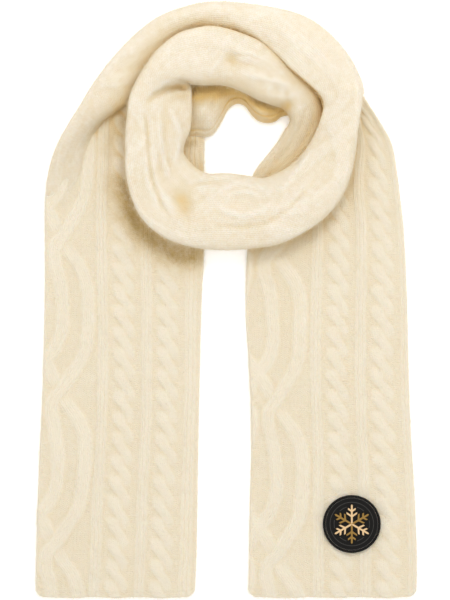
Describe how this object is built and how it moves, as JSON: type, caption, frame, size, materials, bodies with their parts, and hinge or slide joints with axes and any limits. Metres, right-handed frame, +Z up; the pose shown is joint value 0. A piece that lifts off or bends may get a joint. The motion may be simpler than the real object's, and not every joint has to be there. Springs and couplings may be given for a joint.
{
  "type": "knit scarf",
  "caption": "Long cable-knit wool scarf, folded lengthwise, wound once into a ring and laid flat with both ends hanging down side by side.",
  "frame": {"origin": "on the surface the scarf lies on, under the middle of its bounding box", "axes": "+Y from the hems of the two ends towards the ring, +X to the right as the scarf is looked down on with its hems nearest, +Z up from the surface it lies on"},
  "size_m": [0.4006, 0.6269, 0.0503],
  "materials": {
    "wool_knit": "brushed, lightly felted cream wool in a cable and rib knit",
    "badge_black": "satin black moulded rubber with a fine pebbled ground",
    "badge_gold": "satin gold print on a raised motif"
  },
  "bodies": {
    "root": {"left_tail": "wool_knit", "outer_band": "wool_knit", "front_loop": "wool_knit", "inner_ring": "wool_knit", "inner_ruffle": "wool_knit", "right_tail": "wool_knit", "badge_disc": "badge_black", "badge_rim": "badge_black", "badge_star": "badge_gold"}
  },
  "joints": []
}
